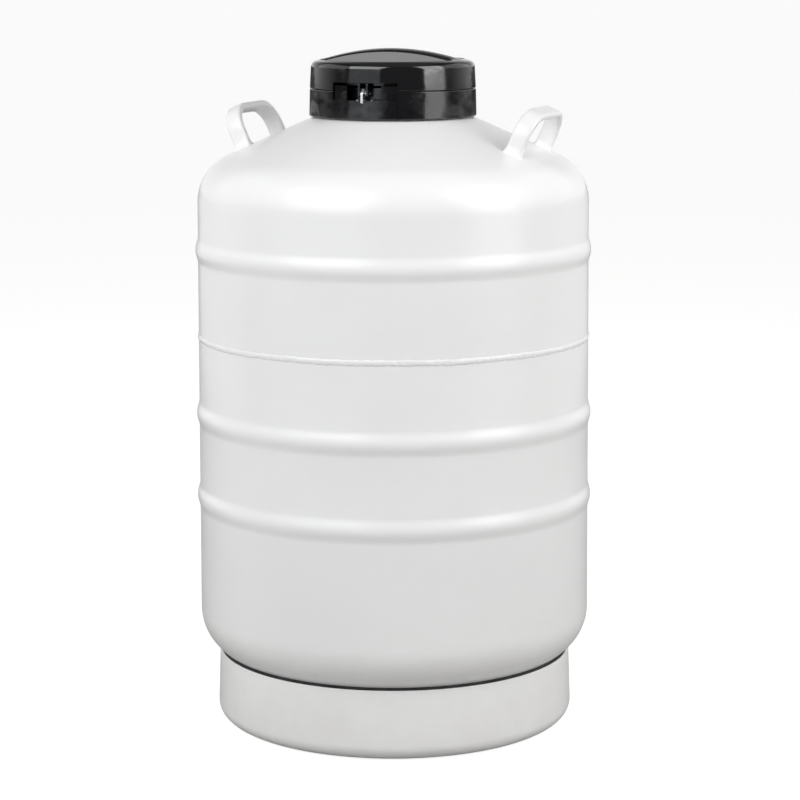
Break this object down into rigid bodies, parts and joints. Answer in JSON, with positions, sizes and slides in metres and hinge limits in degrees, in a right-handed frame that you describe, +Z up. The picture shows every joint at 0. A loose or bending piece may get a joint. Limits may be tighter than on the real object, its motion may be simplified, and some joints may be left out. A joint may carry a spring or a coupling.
{
  "type": "liquid nitrogen dewar",
  "caption": "Portable vacuum-jacketed aluminium dewar with carrying handles, lockable black lid, foam neck plug and hooked sample canisters.",
  "frame": {"origin": "centre of the base on the floor", "axes": "+Z up along the flask's axis; -Y is the front, where the lock window is; the handles are at +X and -X"},
  "size_m": [0.3992, 0.3992, 0.681],
  "materials": {
    "white_paint": "semi-gloss white enamel over spun aluminium",
    "black_plastic": "glossy injection-moulded black plastic",
    "aluminium": "turned aluminium, satin",
    "steel": "brushed stainless steel",
    "glass_fibre": "glass-fibre reinforced resin tube",
    "foam": "rigid closed-cell foam",
    "foil": "crinkled multilayer foil",
    "rubber": "matt black rubber"
  },
  "bodies": {
    "vessel": {"outer_shell_upper": "white_paint", "outer_shell_lower": "white_paint", "shell_seam_weld": "white_paint", "base_ring": "white_paint", "handle_left": "white_paint", "handle_right": "white_paint", "foot_ring": "rubber", "neck_flange": "aluminium", "neck_tube": "glass_fibre", "canister_index_ring": "black_plastic", "inner_vessel_upper": "aluminium", "inner_vessel_lower": "aluminium", "insulation_blanket": "foil", "adsorbent_pack": "foam", "canister_locator": "aluminium", "vacuum_port": "aluminium", "vacuum_plug": "rubber", "vacuum_cap": "black_plastic", "lock_collar": "black_plastic", "lock_pocket": "black_plastic", "lock_staple": "steel", "staple_rivet_left": "steel", "staple_rivet_right": "steel", "collar_screw_1": "steel", "collar_screw_2": "steel", "collar_screw_3": "steel", "collar_screw_4": "steel"},
    "lid": {"lid_cover": "black_plastic", "lid_liner": "black_plastic", "lock_lug_block": "black_plastic", "neck_plug": "foam", "plug_hub": "black_plastic", "plug_screw": "steel", "liner_screw_1": "steel", "liner_screw_2": "steel", "liner_screw_3": "steel"},
    "canister_1": {"canister_1": "steel", "canister_rod_1": "steel"},
    "canister_2": {"canister_2": "steel", "canister_rod_2": "steel"},
    "canister_3": {"canister_3": "steel", "canister_rod_3": "steel"},
    "canister_4": {"canister_4": "steel", "canister_rod_4": "steel"},
    "canister_5": {"canister_5": "steel", "canister_rod_5": "steel"},
    "canister_6": {"canister_6": "steel", "canister_rod_6": "steel"}
  },
  "joints": [
    {"name": "lid_lift", "type": "slide", "parent": "vessel", "child": "lid", "axis": [0, 0, 1], "range_m": [0, 0.2]},
    {"name": "canister_1_lift", "type": "slide", "parent": "vessel", "child": "canister_1", "axis": [0, 0, 1], "range_m": [0, 0.008]},
    {"name": "canister_2_lift", "type": "slide", "parent": "vessel", "child": "canister_2", "axis": [0, 0, 1], "range_m": [0, 0.008]},
    {"name": "canister_3_lift", "type": "slide", "parent": "vessel", "child": "canister_3", "axis": [0, 0, 1], "range_m": [0, 0.008]},
    {"name": "canister_4_lift", "type": "slide", "parent": "vessel", "child": "canister_4", "axis": [0, 0, 1], "range_m": [0, 0.008]},
    {"name": "canister_5_lift", "type": "slide", "parent": "vessel", "child": "canister_5", "axis": [0, 0, 1], "range_m": [0, 0.008]},
    {"name": "canister_6_lift", "type": "slide", "parent": "vessel", "child": "canister_6", "axis": [0, 0, 1], "range_m": [0, 0.008]}
  ]
}
